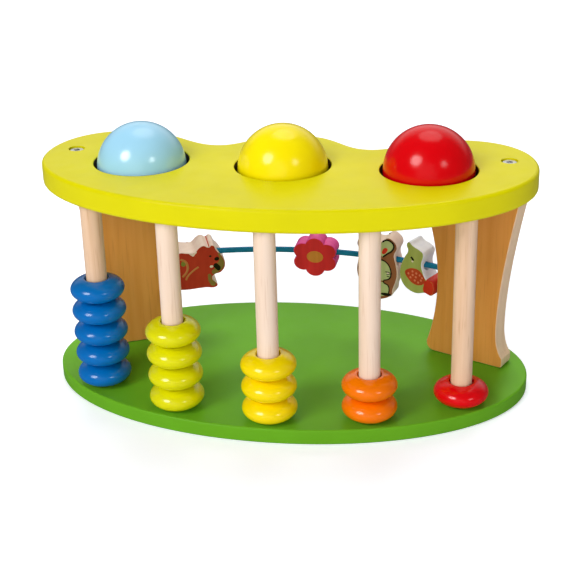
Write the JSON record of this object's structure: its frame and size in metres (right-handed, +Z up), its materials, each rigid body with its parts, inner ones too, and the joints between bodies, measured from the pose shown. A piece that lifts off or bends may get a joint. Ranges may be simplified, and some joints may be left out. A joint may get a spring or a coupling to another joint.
{
  "type": "ball pounding toy",
  "caption": "Wooden pounding toy: a raised board grips balls in its holes above an oval base, with counting rings on rods and flat figures that slide along a bowed wire.",
  "frame": {"origin": "middle of the base board, on its underside, where the toy stands", "axes": "+X to the right along the row of balls, +Y to the back, +Z up; the rods are at the front, towards -Y"},
  "size_m": [0.2814, 0.1657, 0.16],
  "materials": {
    "green_paint": "glossy green paint on wood",
    "lime_paint": "glossy lime paint on wood",
    "pale_blue_paint": "glossy pale blue paint on wood",
    "yellow_paint": "glossy yellow paint on wood",
    "red_paint": "glossy red paint on wood",
    "blue_paint": "glossy blue paint on wood",
    "orange_paint": "glossy orange paint on wood",
    "stained_wood": "satin brown stain, edges left bare",
    "bare_wood": "smooth bare wood, clear lacquer",
    "russet_paint": "satin russet paint on wood",
    "poppy_paint": "satin poppy red paint on wood",
    "brown_paint": "satin brown paint on wood",
    "olive_paint": "satin olive paint on wood",
    "teal_wire": "teal coat on steel wire",
    "dark_rubber": "matt dark rubber",
    "steel": "plain steel"
  },
  "bodies": {
    "frame": {"base_board": "green_paint", "top_board": "lime_paint", "leg_left": "stained_wood", "leg_right": "stained_wood", "wire": "teal_wire", "post_1": "bare_wood", "post_2": "bare_wood", "post_3": "bare_wood", "post_4": "bare_wood", "post_5": "bare_wood", "ring_blue": "dark_rubber", "ring_yellow": "dark_rubber", "ring_red": "dark_rubber", "screw_top_1": "steel", "screw_top_2": "steel", "screw_top_3": "steel", "screw_top_4": "steel", "screw_base_1": "steel", "screw_base_2": "steel", "screw_base_3": "steel", "screw_base_4": "steel"},
    "bead_blue_1": {"bead_blue_1": "blue_paint"},
    "bead_blue_2": {"bead_blue_2": "blue_paint"},
    "bead_blue_3": {"bead_blue_3": "blue_paint"},
    "bead_blue_4": {"bead_blue_4": "blue_paint"},
    "bead_blue_5": {"bead_blue_5": "blue_paint"},
    "bead_lime_1": {"bead_lime_1": "lime_paint"},
    "bead_lime_2": {"bead_lime_2": "lime_paint"},
    "bead_lime_3": {"bead_lime_3": "lime_paint"},
    "bead_lime_4": {"bead_lime_4": "lime_paint"},
    "bead_yellow_1": {"bead_yellow_1": "yellow_paint"},
    "bead_yellow_2": {"bead_yellow_2": "yellow_paint"},
    "bead_yellow_3": {"bead_yellow_3": "yellow_paint"},
    "bead_orange_1": {"bead_orange_1": "orange_paint"},
    "bead_orange_2": {"bead_orange_2": "orange_paint"},
    "bead_red_1": {"bead_red_1": "red_paint"},
    "ball_blue": {"ball_blue": "pale_blue_paint"},
    "ball_yellow": {"ball_yellow": "yellow_paint"},
    "ball_red": {"ball_red": "red_paint"},
    "squirrel": {"squirrel": "russet_paint"},
    "flower": {"flower": "poppy_paint"},
    "bird": {"bird": "olive_paint"},
    "monkey": {"monkey": "brown_paint"}
  },
  "joints": [
    {"name": "bead_blue_1_lift", "type": "slide", "parent": "frame", "child": "bead_blue_1", "axis": [0, 0, 1], "range_m": [0, 0.0092]},
    {"name": "bead_blue_2_lift", "type": "slide", "parent": "bead_blue_1", "child": "bead_blue_2", "axis": [0, 0, 1], "range_m": [0, 0.0092]},
    {"name": "bead_blue_3_lift", "type": "slide", "parent": "bead_blue_2", "child": "bead_blue_3", "axis": [0, 0, 1], "range_m": [0, 0.0092]},
    {"name": "bead_blue_4_lift", "type": "slide", "parent": "bead_blue_3", "child": "bead_blue_4", "axis": [0, 0, 1], "range_m": [0, 0.0092]},
    {"name": "bead_blue_5_lift", "type": "slide", "parent": "bead_blue_4", "child": "bead_blue_5", "axis": [0, 0, 1], "range_m": [0, 0.0092]},
    {"name": "bead_lime_1_lift", "type": "slide", "parent": "frame", "child": "bead_lime_1", "axis": [0, 0, 1], "range_m": [0, 0.0149]},
    {"name": "bead_lime_2_lift", "type": "slide", "parent": "bead_lime_1", "child": "bead_lime_2", "axis": [0, 0, 1], "range_m": [0, 0.0149]},
    {"name": "bead_lime_3_lift", "type": "slide", "parent": "bead_lime_2", "child": "bead_lime_3", "axis": [0, 0, 1], "range_m": [0, 0.0149]},
    {"name": "bead_lime_4_lift", "type": "slide", "parent": "bead_lime_3", "child": "bead_lime_4", "axis": [0, 0, 1], "range_m": [0, 0.0149]},
    {"name": "bead_yellow_1_lift", "type": "slide", "parent": "frame", "child": "bead_yellow_1", "axis": [0, 0, 1], "range_m": [0, 0.0242]},
    {"name": "bead_yellow_2_lift", "type": "slide", "parent": "bead_yellow_1", "child": "bead_yellow_2", "axis": [0, 0, 1], "range_m": [0, 0.0242]},
    {"name": "bead_yellow_3_lift", "type": "slide", "parent": "bead_yellow_2", "child": "bead_yellow_3", "axis": [0, 0, 1], "range_m": [0, 0.0242]},
    {"name": "bead_orange_1_lift", "type": "slide", "parent": "frame", "child": "bead_orange_1", "axis": [0, 0, 1], "range_m": [0, 0.043]},
    {"name": "bead_orange_2_lift", "type": "slide", "parent": "bead_orange_1", "child": "bead_orange_2", "axis": [0, 0, 1], "range_m": [0, 0.043]},
    {"name": "bead_red_1_lift", "type": "slide", "parent": "frame", "child": "bead_red_1", "axis": [0, 0, 1], "range_m": [0, 0.0992]},
    {"name": "ball_blue_drop", "type": "slide", "parent": "frame", "child": "ball_blue", "axis": [0, 0, 1], "range_m": [-0.0498, 0.04], "deforming": ["ring_blue"]},
    {"name": "ball_yellow_drop", "type": "slide", "parent": "frame", "child": "ball_yellow", "axis": [0, 0, 1], "range_m": [-0.0983, 0.04], "deforming": ["ring_yellow"]},
    {"name": "ball_red_drop", "type": "slide", "parent": "frame", "child": "ball_red", "axis": [0, 0, 1], "range_m": [-0.0998, 0.04], "deforming": ["ring_red"]},
    {"name": "squirrel_glide", "type": "hinge", "parent": "frame", "child": "squirrel", "pos_m": [0.0023, -0.16376, 0.06185], "axis": [0, 0, -1], "range_deg": [-0.9, 11.2]},
    {"name": "flower_glide", "type": "hinge", "parent": "frame", "child": "flower", "pos_m": [0.0023, -0.16376, 0.06185], "axis": [0, 0, -1], "range_deg": [-11.2, 3.2]},
    {"name": "bird_glide", "type": "hinge", "parent": "frame", "child": "bird", "pos_m": [0.0023, -0.16376, 0.06185], "axis": [0, 0, -1], "range_deg": [-3.2, 0.15]},
    {"name": "monkey_glide", "type": "hinge", "parent": "bird", "child": "monkey", "pos_m": [0.0023, -0.16376, 0.06185], "axis": [0, 0, -1], "range_deg": [-3.2, 0]}
  ]
}
